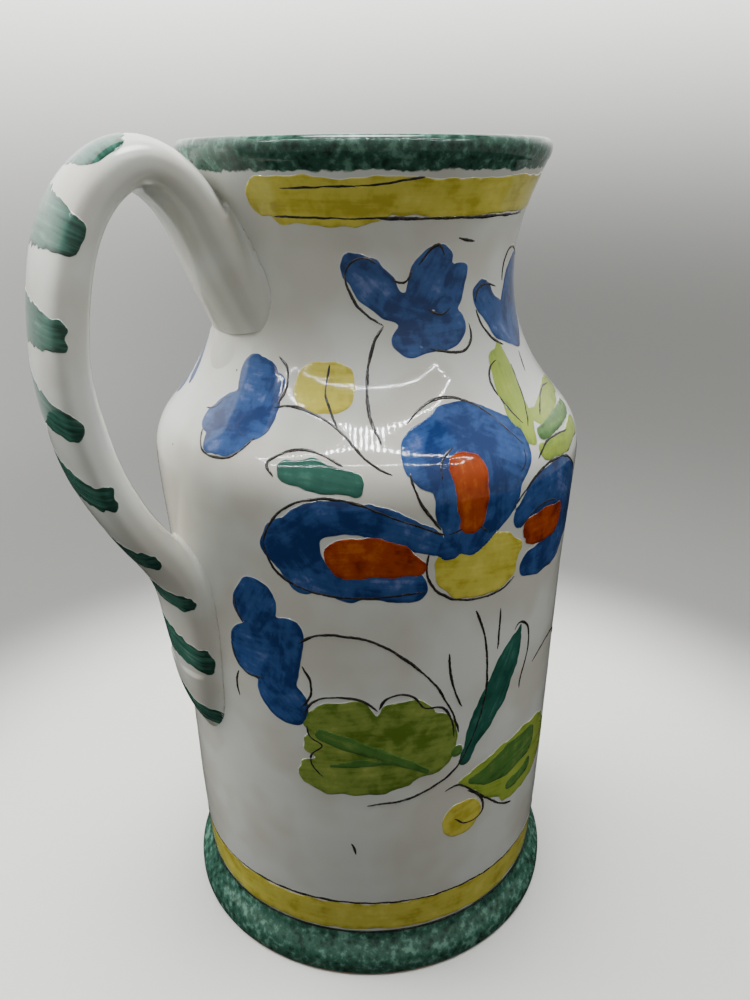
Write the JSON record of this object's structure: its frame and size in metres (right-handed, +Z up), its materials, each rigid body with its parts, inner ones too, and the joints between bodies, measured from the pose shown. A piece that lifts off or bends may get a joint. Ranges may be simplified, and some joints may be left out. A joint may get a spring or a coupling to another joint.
{
  "type": "hand-painted ceramic pitcher",
  "caption": "Tall cylindrical ceramic pitcher with a rounded shoulder, flared neck, rolled lip, flared foot and a looped strap handle.",
  "frame": {"origin": "on the vessel's axis, on the flat underside of the floor slab that the pitcher stands on", "axes": "+Z up along the vessel's axis, the handle towards -X, the painted side towards -Y"},
  "size_m": [0.1577, 0.127, 0.2404],
  "materials": {
    "white_glaze": "glossy opaque white tin glaze",
    "green_glaze": "glossy sponged dark green glaze",
    "blue_glaze": "glossy brushed cobalt blue",
    "yellow_glaze": "glossy brushed yellow",
    "orange_glaze": "glossy brushed orange",
    "leaf_glaze": "glossy brushed leaf green",
    "teal_glaze": "glossy brushed blue-green",
    "dark_line": "dark incised and inked line",
    "bare_clay": "matt unglazed buff clay on the resting ring"
  },
  "bodies": {
    "root": {"floor_slab": "white_glaze", "flared_foot": "green_glaze", "body_wall": "white_glaze", "neck_collar": "white_glaze", "rolled_lip": "green_glaze", "strap_handle": "white_glaze", "upper_handle_luting": "white_glaze", "lower_handle_luting": "white_glaze"}
  },
  "joints": []
}
